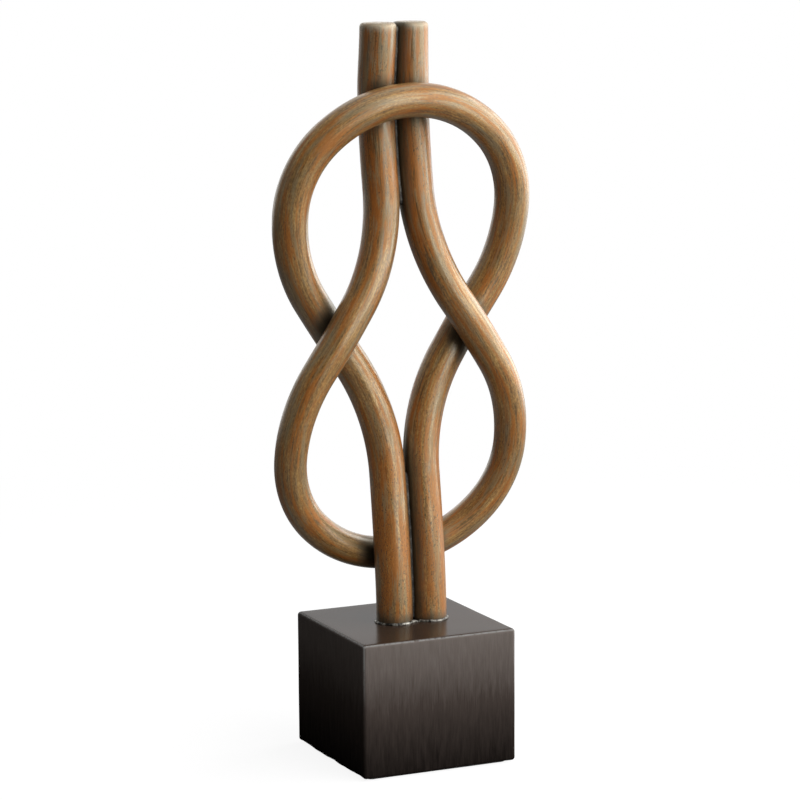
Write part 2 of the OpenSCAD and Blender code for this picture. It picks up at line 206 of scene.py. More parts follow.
def mark(piece, name, values):
    """Keeps a number or a vector for each point of a piece, for its material to read."""
    values = np.asarray(values, dtype=float)
    kind, field = ("FLOAT_VECTOR", "vector") if values.ndim == 2 else ("FLOAT", "value")
    piece.data.attributes.new(name, kind, "POINT").data.foreach_set(field, values.ravel())


def clearance(points, rod, start, stop):
    """How far points lie from a stretch of a rod's surface."""
    place = np.arange(start, stop, mm)
    radius = rod.radius(place)
    tree = KDTree(len(place))
    for index, spot in enumerate(rod.line(place)):
        tree.insert(spot, index)
    tree.balance()
    found = [tree.find(point) for point in points]
    return np.array([far - radius[index] for spot, index, far in found])


# The mark near contacts is partly real tarnish and partly painted shade in the crevices where the rods touch
# each other and the block.
tarnish_and_shade_reach = 15 * mm
off_foot = 3 * mm
# Painted shade: the right end's seam side gets a wider mark, standing in for the shade the left end casts on
# it.
off_left_seam, left_pace = 2.4 * mm, 1.4
off_right_seam, right_pace = mm, 1.05


def tarnish_and_shade_near(piece, rod, other):
    """Marks how near each point is to what the rod touches, from 1 there to 0 at the reach of the mark, which
    is partly tarnish and partly painted shade, and spreads wider on the shaded side of the right end."""
    points = np.array([vertex.co for vertex in piece.data.vertices])
    off_block = off_foot + points[:, 2] - block_top
    gap = np.minimum(clearance(points, other, 0, 2 * other.half), off_block)
    bar_place = np.array([entry.vector.z for entry in piece.data.attributes["bar"].data])
    left = bar_place < rod.half
    own_gap = np.zeros_like(gap)
    own_gap[left] = clearance(points[left], rod, 2 * rod.half - rod.crossing, 2 * rod.half)
    own_gap[~left] = clearance(points[~left], rod, 0, rod.crossing)
    off_seam = np.where(left, off_left_seam + left_pace * own_gap, off_right_seam + right_pace * own_gap)
    gap = np.minimum(gap, off_seam)
    mark(piece, "near", np.clip(1 - gap / tarnish_and_shade_reach, 0, 1))


rusty_share, rubbed_share = 0.6, 0.7
weathered_len, weathered_fade = 20 * mm, 30 * mm
filed_len = 7 * mm


def wear(piece, rod, crown_share, ends_share):
    """Marks the rusty straight ends, and by those shares the rubbed crown and the stained free ends, which
    are weathered grey toward their tips and filed there."""
    bar_place = np.array([entry.vector.z for entry in piece.data.attributes["bar"].data])
    run = rod.from_end(bar_place)
    rusty_len = rusty_share * rod.straight
    rusty = 1 - smooth((run - rusty_len) / (rod.crossing - rusty_len))
    mark(piece, "rusty", rusty)
    mark(piece, "stained", ends_share * rusty)
    mark(piece, "rubbed", crown_share * smooth((run - rod.widest) / (rubbed_share * (rod.half - rod.widest))))
    mark(piece, "weathered", ends_share * (1 - smooth((run - weathered_len) / weathered_fade)))
    mark(piece, "filed", ends_share * (1 - smooth(run / filed_len)))


sides = 72
angles = np.arange(sides) * tau / sides
ring_step = 1.6 * mm


def run_of_places(start, stop):
    return np.linspace(start, stop, round((stop - start) / ring_step))


drill_r, drill_deep = 5.1 * mm, 27 * mm
drill_points = []
for foot_place, turn in ((0.0, 1), (2 * upper.half, -1)):
    foot = upper.line(np.array([foot_place]))[0]
    circle = drill_r * np.stack([turn * np.cos(angles), np.sin(angles), 0 * angles], axis=1)
    drill_points.append([foot + circle + [0, 0, up] for up in (drill_deep, 0)])
bar_places = run_of_places(0, 2 * upper.half)
rings, bar = upper.rings(bar_places, 0 * bar_places, angles)
hole_bar = np.zeros_like(bar[:2])
upper_rod = mesh_piece(
    "upper_rod",
    np.concatenate([drill_points[0], rings, drill_points[1][::-1]]),
    tube_faces(len(rings) + 4, sides))
mark(upper_rod, "bar", np.concatenate([hole_bar, bar, hole_bar]).reshape(-1, 3))
tarnish_and_shade_near(upper_rod, upper, lower)
wear(upper_rod, upper, 1.0, 0)
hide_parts("upper_loop_rod")
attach(upper_rod, "root")


class Shade:
    """A socket of a material's nodes. Arithmetic on it adds the Math nodes that work it out."""

    def __init__(self, tree, socket=None):
        self.tree = tree
        self.socket = socket

    def node(self, kind, settings=None, inputs=None, output=0):
        """A new node of that kind, its settings made first, then its sockets set or linked. Gives an
        output."""
        made = self.tree.nodes.new("ShaderNode" + kind)
        for name, value in (settings or {}).items():
            if name == "stops":
                bands = made.color_ramp.elements
                bands.remove(bands[1])
                bands[0].position, bands[0].color = value[0]
                for spot, tint in value[1:]:
                    bands.new(spot).color = tint
            else:
                setattr(made, name, value)
        for name, value in (inputs or {}).items():
            if isinstance(value, Shade):
                self.tree.links.new(value.socket, made.inputs[name])
            else:
                made.inputs[name].default_value = value
        return Shade(self.tree, made.outputs[output]) if made.outputs else None

    def math(self, operation, first, second=0.0):
        return self.node("Math", {"operation": operation}, {0: first, 1: second})

    def __add__(self, other):
        return self.math("ADD", self, other)

    def __sub__(self, other):
        return self.math("SUBTRACT", self, other)

    def __rsub__(self, other):
        return self.math("SUBTRACT", other, self)

    def __mul__(self, other):
        return self.math("MULTIPLY", self, other)

    __radd__ = __add__
    __rmul__ = __mul__

    def between(self, low, high):
        """0 below low and 1 above high, with a smooth rise between."""
        settings = {"interpolation_type": "SMOOTHSTEP"}
        return self.node("MapRange", settings, {"Value": self, "From Min": low, "From Max": high})

    def mix(self, first, second, share, how="MIX"):
        """First colour with that share of the second."""
        return self.node("Mix", {"data_type": "RGBA", "blend_type": how}, {0: share, 6: first, 7: second}, 2)

    def grain(self, place, size, seed, detail=2.0, rough=0.55):
        """Cloudy values round 0.5 whose spots have that size along the axes of place."""
        moved = self.node("Mapping", {}, {
            "Vector": place,
            "Location": (seed, seed, seed),
            "Scale": tuple(1 / length for length in size)})
        return self.node("TexNoise", {}, {"Vector": moved, "Scale": 1, "Detail": detail, "Roughness": rough})

    def attribute(self, name, output="Fac"):
        return self.node("Attribute", {"attribute_name": name}, output=output)


def new_finish(name):
    """A material without nodes, and the shade that its nodes are made from."""
    material = bpy.data.materials.new(name)
    material.use_nodes = True
    material.node_tree.nodes.clear()
    return material, Shade(material.node_tree)


def put_on(material, *pieces):
    for piece in pieces:
        piece.data.materials.clear()
        piece.data.materials.append(material)


def colour(red, green, blue):
    """A colour as seen on a screen, from 0 to 255, as light values."""
    parts = [((c / 255 + 0.055) / 1.055) ** 2.4 if c > 10 else c / 3295 for c in (red, green, blue)]
    return (*parts, 1)


patina_dark = colour(86, 60, 31)
patina_brown = colour(140, 102, 54)
patina_tan = colour(180, 144, 86)
patina_rust = colour(150, 84, 26)
patina_olive = colour(118, 106, 80)
patina_grey = colour(168, 160, 142)
patina_ash_and_shade = colour(98, 92, 80)
patina_black_and_shade = colour(34, 32, 29)

rod_finish, shade = new_finish("brushed_bronze_patina")
on_bar = shade.attribute("bar", "Vector")
near = shade.attribute("near")
clouds = shade.grain(on_bar, (10 * mm, 10 * mm, 45 * mm), 3.1, 3)
bands = shade.grain(on_bar, (2.6 * mm, 2.6 * mm, 44 * mm), 7.7, 3)
lines = shade.grain(on_bar, (0.9 * mm, 0.9 * mm, 18 * mm), 1.9, 3, 0.6)
specks = shade.grain(on_bar, (0.9 * mm, 0.9 * mm, 2 * mm), 5.3, 1)
rust = shade.grain(on_bar, (3.4 * mm, 3.4 * mm, 40 * mm), 11.4, 4)
olive = shade.grain(on_bar, (4.5 * mm, 4.5 * mm, 34 * mm), 15.8, 4)
pits = shade.grain(on_bar, (0.8 * mm, 0.8 * mm, 1.2 * mm), 2.2, 1)
rusty = shade.attribute("rusty")
filed = shade.attribute("filed")
weathered = shade.attribute("weathered")
tone = clouds * 0.2 + bands * 0.36 + lines * 0.38 + (specks - 0.5) * (0.26 + 0.2 * rusty) + 0.03
tone = tone - 0.01 * shade.attribute("rubbed") - 0.16 * shade.attribute("stained")
base = shade.node("ValToRGB", {"stops": [
    (0.38, patina_dark), (0.5, patina_brown), (0.64, patina_tan)]}, {0: tone})
rusted = (rust * 0.6 + lines * 0.4 + 0.07 * rusty).between(0.47, 0.58)
base = shade.mix(base, patina_rust, rusted * 0.85)
base = shade.mix(base, patina_olive, (olive * 0.6 + lines * 0.4 + 0.03 * weathered).between(0.49, 0.6) * 0.7)
base = shade.mix(
    base, colour(255, 248, 238), (lines * 0.5 + specks * 0.5).between(0.42, 0.66) * 0.25, "SOFT_LIGHT")
pitted = (pits + 0.08 * rusty).between(0.67, 0.74) * clouds.between(0.42, 0.54)
base = shade.mix(base, patina_black_and_shade, pitted * 0.8)
# Painted shade and grime: the rods darken to ash and near black where they touch each other and the block.
grime_and_shade = near + (clouds + lines) * 0.5 - 0.5
greyed = filed * 0.7 + weathered * 0.42 + (bands + lines) * 0.8 - 0.8
base = shade.mix(base, patina_grey, greyed.between(0.3, 1.0) * 0.7)
base = shade.mix(base, patina_ash_and_shade, grime_and_shade.between(0.1, 0.45) * (0.5 - 0.3 * rusty))
base = shade.mix(base, patina_black_and_shade, grime_and_shade.between(0.2, 0.8) * 0.9)
bump = shade.node("Bump", {}, {
    "Strength": 0.5, "Distance": 0.06 * mm, "Height": lines + specks * 0.4 - 1.5 * pits.between(0.62, 0.72)})
surface = shade.node("BsdfPrincipled", {}, {
    "Base Color": base, "Metallic": 0.06, "Roughness": 0.32 + 0.16 * lines + 0.1 * rusted,
    "Specular IOR Level": 1.0, "Specular Tint": (1, 0.82, 0.45, 1), "Coat Weight": 0.95 - 0.75 * rusted,
    "Coat Roughness": 0.24, "Normal": bump})
shade.node("OutputMaterial", {}, {"Surface": surface})
put_on(rod_finish, upper_rod)

# Lower loop rod
# The second bar, bent to the same loop upside down. Its loop hangs behind the legs, it passes in front at
# both crossings, and its free ends stand side by side at the top, their flat tips rounded with a file.
tip_r = 3.2 * mm
tip_turn = np.radians(np.arange(0, 90, 9))
face_shares = np.array([0.98, 0.8, 0.6, 0.4])
face_inset = face_shares * end_d / 2
bar_places = run_of_places(tip_r, 2 * lower.half - tip_r)
tip_places = np.concatenate([0 * face_inset, tip_r * (1 - np.cos(tip_turn))])
tip_inset = np.concatenate([face_inset, tip_r * (1 - np.sin(tip_turn))])
rings, bar = lower.rings(
    np.concatenate([tip_places, bar_places, 2 * lower.half - tip_places[::-1]]),
    np.concatenate([tip_inset, 0 * bar_places, tip_inset[::-1]]), angles)
lower_rod = mesh_piece("lower_rod", rings, tube_faces(len(rings), sides))
mark(lower_rod, "bar", bar.reshape(-1, 3))
tarnish_and_shade_near(lower_rod, lower, upper)
wear(lower_rod, lower, 0, 1)
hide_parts("lower_loop_rod")
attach(lower_rod, "root")
put_on(rod_finish, lower_rod)

# Seam welds
# A web of filler metal, run in between the two legs and again between the two free ends. It lies deep in the
# groove, still grey and rippled as the torch left it, and ends in a hollow where the rods part.
seam_deep = 7 * mm
seam_sink = 0.15 * mm
seam_steps, seam_face_points = 13, 4
seam_ring_gap = 0.7 * mm
hollow_len, hollow_share = 5 * mm, 0.35
ripple_deep, ripple_len = 0.16 * mm, 1.9 * mm
lump_deep, lumps_per_m = 0.3 * mm, 260


def seam_web(name, rod, start, stop, node):
    """A web between the two ends of a rod, from start to stop along them."""
    place = np.linspace(start, stop, round((stop - start) / seam_ring_gap))
    left_axis, right_axis = rod.line(place), rod.line(2 * rod.half - place)
    half_gap = np.abs(left_axis[:, 0] - rod.middle)[:, None]
    half_step = (right_axis[:, 1] - left_axis[:, 1])[:, None] / 2
    squared = rod.radius(place)[:, None] ** 2
    past = np.clip((place - stop + hollow_len) / hollow_len, 0, 1)[:, None]
    deep = np.linspace(-1, 1, seam_steps) * seam_deep / 2 * (1 - hollow_share * past ** 2)
    left = np.sqrt(squared - (deep + half_step) ** 2) - half_gap - seam_sink
    right = half_gap - np.sqrt(squared - (deep - half_step) ** 2) + seam_sink
    rings = []
    for index, spot in enumerate((left_axis + right_axis) / 2):
        ends = []
        for face in (-1, 0):
            across = np.linspace(left[index, face], right[index, face], seam_face_points + 2)[1:-1]
            ends.append([[x, deep[index, face]] for x in across])
        flanks = [list(zip(side[index], deep[index])) for side in (left, right)]
        ring = [[rod.middle + x, spot[1] + y, spot[2]]
                for x, y in flanks[0] + ends[0] + flanks[1][::-1] + ends[1][::-1]]
        rings.append(ring)
    rings = np.array(rings)
    size = rings.shape[1]
    front = range(seam_steps, seam_steps + seam_face_points)
    back = range(size - seam_face_points, size)
    for index in range(len(rings)):
        for corner in [*front, *back]:
            x, y, z = rings[index, corner]
            ripple = ripple_deep * sin(z / ripple_len * tau + 2 * noise.noise(Vector((0, y * 90, z * 60))))
            lump = lump_deep * noise.noise(Vector((x, y, z)) * lumps_per_m)
            rings[index, corner, 1] += ripple + lump
    web = mesh_piece(name, rings, tube_faces(len(rings), size))
    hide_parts(node)
    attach(web, "root")
    return web


leg_seam_start, leg_seam_stop = 1.7 * mm, 103 * mm
free_seam_stop = 124 * mm
leg_seam = seam_web("leg_seam", upper, leg_seam_start, leg_seam_stop, "leg_seam_weld")
free_seam = seam_web("free_seam", lower, tip_r, free_seam_stop, "free_end_seam_weld")

weld_dark = colour(24, 22, 20)
weld_grey = colour(56, 53, 48)
weld_bright = colour(118, 114, 105)
weld_silver = colour(186, 183, 174)
weld_finish, shade = new_finish("grey_weld_metal")
at = shade.node("TexCoord", output="Object")
blotch = shade.grain(at, (3 * mm, 3 * mm, 5 * mm), 4.2, 4, 0.65)
grit = shade.grain(at, (0.5 * mm, 0.5 * mm, 0.5 * mm), 8.1, 2)
base = shade.node("ValToRGB", {"stops": [
    (0.36, weld_dark), (0.52, weld_grey), (0.68, weld_bright)]}, {0: blotch * 0.7 + grit * 0.3})
base = shade.mix(base, weld_silver, shade.attribute("rubbed") * blotch.between(0.42, 0.66) * 0.8)
bump = shade.node("Bump", {}, {"Strength": 0.6, "Distance": 0.1 * mm, "Height": blotch + grit * 0.6})
surface = shade.node("BsdfPrincipled", {}, {
    "Base Color": base, "Metallic": 0.7, "Roughness": 0.3 + 0.3 * blotch, "Normal": bump})
shade.node("OutputMaterial", {}, {"Surface": surface})
put_on(weld_finish, leg_seam, free_seam)

# Crossing welds and crown tacks
# Short tack welds where a rod leans on the other: one at each crossing, two behind the upper arch and two
# before the lower one. Little of them shows between the rods.
for node in ("left_crossing_weld", "right_crossing_weld", "upper_crown_tacks", "lower_crown_tacks"):
    put_on(weld_finish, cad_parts[node])

# Foot bead
# A thin fillet weld round both feet where they stand on the block. It was run by hand, so it swells and
# thins, fills the corner between the two feet, and its crests are rubbed bright.
bead_r = 1.15 * mm
bead_sides = 14
bead_lift = 0.25 * mm
bead_swell = 0.34
bead_ring_gap = 0.45 * mm
swells_per_m, grains_per_m = 210, 560
foot_r = end_d / 2
turn = np.arange(1440) * tau / 1440
out_of_foot = np.maximum(foot_r ** 2 - (twin_x * np.sin(turn)) ** 2, 0)
reach = twin_x * np.abs(np.cos(turn)) + np.sqrt(out_of_foot)
groove = 8.2 * mm
reach = (reach ** 10 + groove ** 10) ** 0.1
outline = np.stack([reach * np.cos(turn), reach * np.sin(turn)], axis=1)
for _ in range(12):
    outline = (np.roll(outline, 1, axis=0) + 2 * outline + np.roll(outline, -1, axis=0)) / 4
steps = np.linalg.norm(np.roll(outline, -1, axis=0) - outline, axis=1)
along = np.concatenate([[0], np.cumsum(steps)])
bead_rings = round(along[-1] / bead_ring_gap)
even = np.arange(bead_rings) / bead_rings * along[-1]
closed = np.concatenate([outline, outline[:1]])
outline = np.stack([np.interp(even, along, closed[:, axis]) for axis in (0, 1)], axis=1)
ahead = np.roll(outline, -1, axis=0) - np.roll(outline, 1, axis=0)
ahead /= np.linalg.norm(ahead, axis=1)[:, None]
rings = []
for spot, heading in zip(outline, ahead):
    lump = noise.noise(Vector((spot[0], spot[1], 0)) * swells_per_m)
    lump += 0.5 * noise.noise(Vector((spot[0], spot[1], 9)) * grains_per_m)
    radius = bead_r * (1 + bead_swell * lump)
    ring = []
    for step in range(bead_sides):
        angle = step * tau / bead_sides
        out = radius * cos(angle)
        ring.append([
            upper.middle + spot[0] + out * heading[1],
            upper.levels[0] + spot[1] - out * heading[0],
            block_top + bead_lift + radius * sin(angle)])
    rings.append(ring)
bead = mesh_piece("foot_weld", rings, tube_faces(len(rings), bead_sides, closed=True))
mark(bead, "rubbed", np.ones(len(bead.data.vertices)))
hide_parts("foot_bead")
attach(bead, "root")
put_on(weld_finish, bead)

# Block
# A hollow iron casting, open below, blackened and brushed up and down its sides, with a soft sheen on top.
# Its edges are rounded by hand, the upper ones painted a little brighter, partly as wear and partly as
# painted highlight, and its lower rim isn't quite even.
block_low, block_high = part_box("block_shell")
edge_r = 2.6 * mm
flaw_deep, flaws_per_m = 0.16 * mm, 38
rim_band, rim_lift = 5 * mm, 0.8 * mm
rim_waves_per_m, rim_ripples_per_m = 62, 150
wall = 7 * mm
roof = 10 * mm
rim_w = 3.5 * mm
plate_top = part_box("bottom_plate")[1].z
post_r, post_h, post_inset = 7 * mm, 24 * mm, 12.5 * mm
tapped_r, tapped_deep = 2.1 * mm, 16 * mm
bolt_hole_r = 5.5 * mm


def edge_lines(low, high):
    """Places of the lines of an even net on one side of the block, with the round edges' own at the ends."""
    fillet = edge_r * np.tan(np.radians(np.arange(0, 46, 7.5)))
    flat = np.linspace(low + edge_r, high - edge_r, 27)[1:-1]
    return np.concatenate([low + edge_r - fillet[::-1], flat, high - edge_r + fillet])


lines_at = [edge_lines(block_low[axis], block_high[axis]) for axis in range(3)]
points, faces = [], []
for axis in range(3):
    first, second = [other for other in range(3) if other != axis]
    for level in (block_low[axis], block_high[axis]):
        start = len(points)
        for u in lines_at[first]:
            for v in lines_at[second]:
                spot = [0, 0, 0]
                spot[axis], spot[first], spot[second] = level, u, v
                points.append(spot)
        wide = len(lines_at[second])
        for i in range(len(lines_at[first]) - 1):
            for j in range(wide - 1):
                corner = start + i * wide + j
                faces.append([corner, corner + 1, corner + wide + 1, corner + wide])
points = np.array(points, dtype=float)
core = np.clip(points, np.array(block_low) + edge_r, np.array(block_high) - edge_r)
out = points - core
out /= np.linalg.norm(out, axis=1)[:, None]
points = core + edge_r * out
for index, (spot, facing) in enumerate(zip(points, out)):
    flaw = flaw_deep * (noise.noise(Vector(spot) * flaws_per_m) - 1) * 0.5
    rim = max(0, 1 - (spot[2] - block_low.z) / rim_band)
    wave = noise.noise(Vector((spot[0], spot[1], 0)) * rim_waves_per_m)
    wave += 0.5 * noise.noise(Vector((spot[0], spot[1], 5)) * rim_ripples_per_m)
    points[index] = spot + facing * flaw
    points[index, 2] += rim * rim_lift * max(0, wave + 0.35)
block = mesh_piece("block", points, faces)
work = bmesh.new()
work.from_mesh(block.data)
bmesh.ops.remove_doubles(work, verts=work.verts, dist=0.01 * mm)
bmesh.ops.recalc_face_normals(work, faces=work.faces)
work.to_mesh(block.data)
work.free()


def box_piece(low, high):
    corners = [[x, y, z] for x in (low[0], high[0]) for y in (low[1], high[1]) for z in (low[2], high[2])]
    return mesh_piece("cutter", corners, [
        [0, 1, 3, 2], [4, 6, 7, 5], [0, 4, 5, 1], [2, 3, 7, 6], [0, 2, 6, 4], [1, 5, 7, 3]])


def round_piece(x, y, low_z, high_z, radius, sides=48):
    circle = [[x + radius * cos(i * tau / sides), y + radius * sin(i * tau / sides)] for i in range(sides)]
    rings = [[[*spot, z] for spot in circle] for z in (low_z, high_z)]
    return mesh_piece("cutter", rings, tube_faces(2, sides))


def cut(piece, cutter):
    """Cuts a piece with another, which is used up."""
    change = piece.modifiers.new("cut", "BOOLEAN")
    change.operation = "DIFFERENCE"
    change.solver = "EXACT"
    change.object = cutter
    bpy.context.view_layer.update()
    done = bpy.data.meshes.new_from_object(piece.evaluated_get(bpy.context.evaluated_depsgraph_get()))
    piece.modifiers.clear()
    piece.data = done
    bpy.data.objects.remove(cutter)


below = block_low.z - mm
hollow = box_piece(
    (block_low.x + wall, block_low.y + wall, below),
    (block_high.x - wall, block_high.y - wall, block_top - roof))
screw_spots = [
    (x, y) for x in (block_low.x + post_inset, block_high.x - post_inset)
    for y in (block_low.y + post_inset, block_high.y - post_inset)]
for x, y in screw_spots:
    cut(hollow, round_piece(x, y, plate_top, plate_top + post_h, post_r))
cut(block, hollow)
cut(block, box_piece(
    (block_low.x + rim_w, block_low.y + rim_w, below),
    (block_high.x - rim_w, block_high.y - rim_w, plate_top)))
for x, y in screw_spots:
    cut(block, round_piece(x, y, below, plate_top + tapped_deep, tapped_r))
for place in (0.0, 2 * upper.half):
    foot = upper.line(np.array([place]))[0]
    cut(block, round_piece(foot[0], foot[1], block_top - roof - mm, block_top + mm, bolt_hole_r))
block.data.shade_smooth()
block.data.set_sharp_from_angle(angle=radians(35))
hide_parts("block_shell")
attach(block, "root")

iron_black = colour(26, 22, 20)
iron_brown = colour(66, 58, 54)
iron_grey = colour(108, 100, 95)
iron_worn_and_glint = colour(150, 150, 148)
iron_oiled = colour(66, 46, 28)
block_finish, shade = new_finish("blackened_brushed_iron")
at = shade.node("TexCoord", output="Object")
facing = shade.node("NewGeometry", output="Normal")
place = shade.node("SeparateXYZ", {}, {0: at}, 2)
facing_x = shade.math("ABSOLUTE", shade.node("SeparateXYZ", {}, {0: facing}, 0))
facing_y = shade.math("ABSOLUTE", shade.node("SeparateXYZ", {}, {0: facing}, 1))
facing_z = shade.math("ABSOLUTE", shade.node("SeparateXYZ", {}, {0: facing}, 2))
flat = shade.math("MAXIMUM", shade.math("MAXIMUM", facing_x, facing_y), facing_z)
mid_edge = 0.29
edge = (1 - flat) * (1 / mid_edge)
on_top = facing_z.between(0.6, 0.8)
side_lines = shade.grain(at, (0.6 * mm, 0.6 * mm, 11 * mm), 2.4, 3, 0.6)
side_bands = shade.grain(at, (3.5 * mm, 3.5 * mm, 20 * mm), 6.6, 3)
top_lines = shade.grain(at, (22 * mm, 1.1 * mm, 5 * mm), 9.2, 3, 0.6)
top_clouds = shade.grain(at, (26 * mm, 9 * mm, 9 * mm), 3.8, 3)
lines_mix = shade.node("Mix", {"data_type": "FLOAT"}, {0: on_top, 2: side_lines, 3: top_lines})
bands_mix = shade.node("Mix", {"data_type": "FLOAT"}, {0: on_top, 2: side_bands, 3: top_clouds})
fade_past = 10 * mm
# Painted shade: the base colour darkens toward the bottom of the block.
height = place.between(block_low.z - fade_past, block_high.z + fade_past)
tone = (lines_mix * 0.3 + bands_mix * 0.28 - 0.29 + height) * (1 - 0.75 * on_top)
base = shade.node("ValToRGB", {"stops": [(0.0, iron_black), (0.5, iron_brown), (1.0, iron_grey)]}, {0: tone})
base = shade.mix(base, iron_oiled, on_top * 0.4)
# Painted highlight and wear: the upper rounded edges are painted lighter grey for the glint of light along
# them and for real wear.
worn_and_glint = edge.between(0.2, 0.8) * shade.grain(at, (2.5 * mm, 2.5 * mm, 2.5 * mm), 12.1, 4).between(0.22, 0.55)
base = shade.mix(base, iron_worn_and_glint, worn_and_glint * 0.65 * height.between(0.5, 0.95))
bump = shade.node("Bump", {}, {"Strength": 0.4, "Distance": 0.05 * mm, "Height": lines_mix})
surface = shade.node("BsdfPrincipled", {}, {
    "Base Color": base, "Roughness": 0.7 + 0.12 * (lines_mix - 0.5), "Specular IOR Level": 0.0,
    "Coat Weight": on_top * 0.5, "Coat Roughness": 0.2, "Coat IOR": 1.4, "Normal": bump})
shade.node("OutputMaterial", {}, {"Surface": surface})
put_on(block_finish, block)

# Leg bolts and washers
# Two zinc-plated hex bolts come up through the block's roof into the tapped feet, each with a spring washer
# and a plain washer under its head. They are driven from below, before the bottom plate goes on.
zinc_pale = colour(186, 190, 194)
zinc_blue = colour(140, 146, 154)
zinc_finish, shade = new_finish("zinc_plated_steel")
at = shade.node("TexCoord", output="Object")
spangle = shade.grain(at, (2 * mm, 2 * mm, 2 * mm), 1.3, 3)
turned = shade.grain(at, (9 * mm, 9 * mm, 0.3 * mm), 5.9, 2)
base = shade.node("ValToRGB", {"stops": [(0.38, zinc_blue), (0.62, zinc_pale)]}, {0: spangle})
bump = shade.node("Bump", {}, {"Strength": 0.25, "Distance": 0.04 * mm, "Height": turned + spangle})
surface = shade.node("BsdfPrincipled", {}, {
    "Base Color": base, "Metallic": 1.0, "Roughness": 0.22 + 0.25 * spangle, "Normal": bump})
shade.node("OutputMaterial", {}, {"Surface": surface})
for node in ("leg_bolts", "spring_washers", "plain_washers", "plate_screws"):
    put_on(zinc_finish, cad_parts[node])

# Bottom plate and its screws
# A steel plate, powder-coated black with a fine orange peel, laid in the rebate of the block's rim. Four
# countersunk screws of the same zinc plate hold it to the posts.
coat_black = colour(38, 38, 40)
coat_grey = colour(62, 62, 64)
plate_finish, shade = new_finish("black_powder_coat")
at = shade.node("TexCoord", output="Object")
peel = shade.grain(at, (0.9 * mm, 0.9 * mm, 0.9 * mm), 7.1, 2)
dust = shade.grain(at, (14 * mm, 14 * mm, 14 * mm), 3.3, 4)
base = shade.mix(coat_black, coat_grey, dust.between(0.42, 0.66))
bump = shade.node("Bump", {}, {"Strength": 0.5, "Distance": 0.08 * mm, "Height": peel})
surface = shade.node("BsdfPrincipled", {}, {
    "Base Color": base, "Roughness": 0.5 + 0.2 * dust, "Normal": bump})
shade.node("OutputMaterial", {}, {"Surface": surface})
put_on(plate_finish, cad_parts["bottom_plate"])

# Felt sheet
# A sheet of black wool felt, die-cut to a rounded square with a hole for each screw head, glued under the
# bottom plate. The sculpture stands on it.
felt_low, felt_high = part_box("felt_sheet")
felt_w = felt_high.x - felt_low.x
felt_corner_r = 4 * mm
felt_hole_r = 5 * mm
felt_net = 76
nap_deep, tufts_per_m = 0.07 * mm, 700
net = np.linspace(-1, 1, felt_net)
low_face, high_face = [], []
for u in net:
    for v in net:
        x, y = u * felt_w / 2, v * felt_w / 2
        inner = felt_w / 2 - felt_corner_r
        over_x, over_y = max(abs(x) - inner, 0), max(abs(y) - inner, 0)
        past = (over_x ** 2 + over_y ** 2) ** 0.5
        if over_x and over_y and past:
            pull = max(over_x, over_y) / past
            x = np.sign(x) * (inner + over_x * pull)
            y = np.sign(y) * (inner + over_y * pull)
        nap = nap_deep * noise.noise(Vector((x, y, 0)) * tufts_per_m)
        low_face.append([x, y, felt_low.z + nap_deep + nap])
        high_face.append([x, y, felt_high.z])
index = np.arange(felt_net ** 2).reshape(felt_net, felt_net)
quads = np.stack([index[:-1, :-1], index[1:, :-1], index[1:, 1:], index[:-1, 1:]], axis=-1).reshape(-1, 4)
rim = np.concatenate([index[0, :-1], index[:-1, -1], index[-1, :0:-1], index[:0:-1, 0]])
walls = np.stack([rim, np.roll(rim, -1), np.roll(rim, -1) + felt_net ** 2, rim + felt_net ** 2], axis=1)
felt = mesh_piece(
    "felt", low_face + high_face,
    quads.tolist() + (quads[:, ::-1] + felt_net ** 2).tolist() + walls.tolist())
for x, y in screw_spots:
    cut(felt, round_piece(x, y, felt_low.z - mm, felt_high.z + mm, felt_hole_r))
felt.data.shade_smooth()
felt.data.set_sharp_from_angle(angle=radians(40))
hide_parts("felt_sheet")
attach(felt, "root")

wool_black = colour(28, 28, 30)
wool_grey = colour(58, 58, 60)
felt_finish, shade = new_finish("black_wool_felt")
at = shade.node("TexCoord", output="Object")
fibres = shade.grain(at, (0.35 * mm, 1.6 * mm, 1 * mm), 2.7, 3, 0.7)
matted = shade.grain(at, (1.8 * mm, 0.4 * mm, 1 * mm), 9.4, 3, 0.7)
base = shade.mix(wool_black, wool_grey, (fibres * 0.5 + matted * 0.5).between(0.42, 0.64))
bump = shade.node("Bump", {}, {"Strength": 0.9, "Distance": 0.25 * mm, "Height": fibres + matted})
surface = shade.node("BsdfPrincipled", {}, {
    "Base Color": base, "Roughness": 0.95, "Sheen Weight": 0.35, "Sheen Roughness": 0.5, "Normal": bump})
shade.node("OutputMaterial", {}, {"Surface": surface})
put_on(felt_finish, felt)

# Camera
# It stands where the photograph was taken from, a little to the left of the front and above the block, and
# looks through a long lens, so that upright lines stay nearly parallel.
camera_turn = radians(-24.72)
camera_rise = radians(9.5)
camera_roll = radians(-0.37)
camera_far = 2237.8 * mm
camera_aside = -3.39 * mm
camera_up = 152.8 * mm
camera = bpy.data.objects.new("camera", bpy.data.cameras.new("camera"))
bpy.context.scene.collection.objects.link(camera)
bpy.context.scene.camera = camera
camera.data.sensor_width = 36
camera.data.lens = 144.72
back = Vector((sin(camera_turn) * cos(camera_rise), -cos(camera_turn) * cos(camera_rise), sin(camera_rise)))
level = Vector((cos(camera_turn), sin(camera_turn), 0))
upright = back.cross(level)
to_right = cos(camera_roll) * level + sin(camera_roll) * upright
to_top = cos(camera_roll) * upright - sin(camera_roll) * level
spot = Vector((0, 0, block_top)) + to_right * camera_aside + to_top * camera_up + back * camera_far
camera.matrix_world = Matrix((to_right, to_top, back)).transposed().to_4x4()
camera.matrix_world.translation = spot

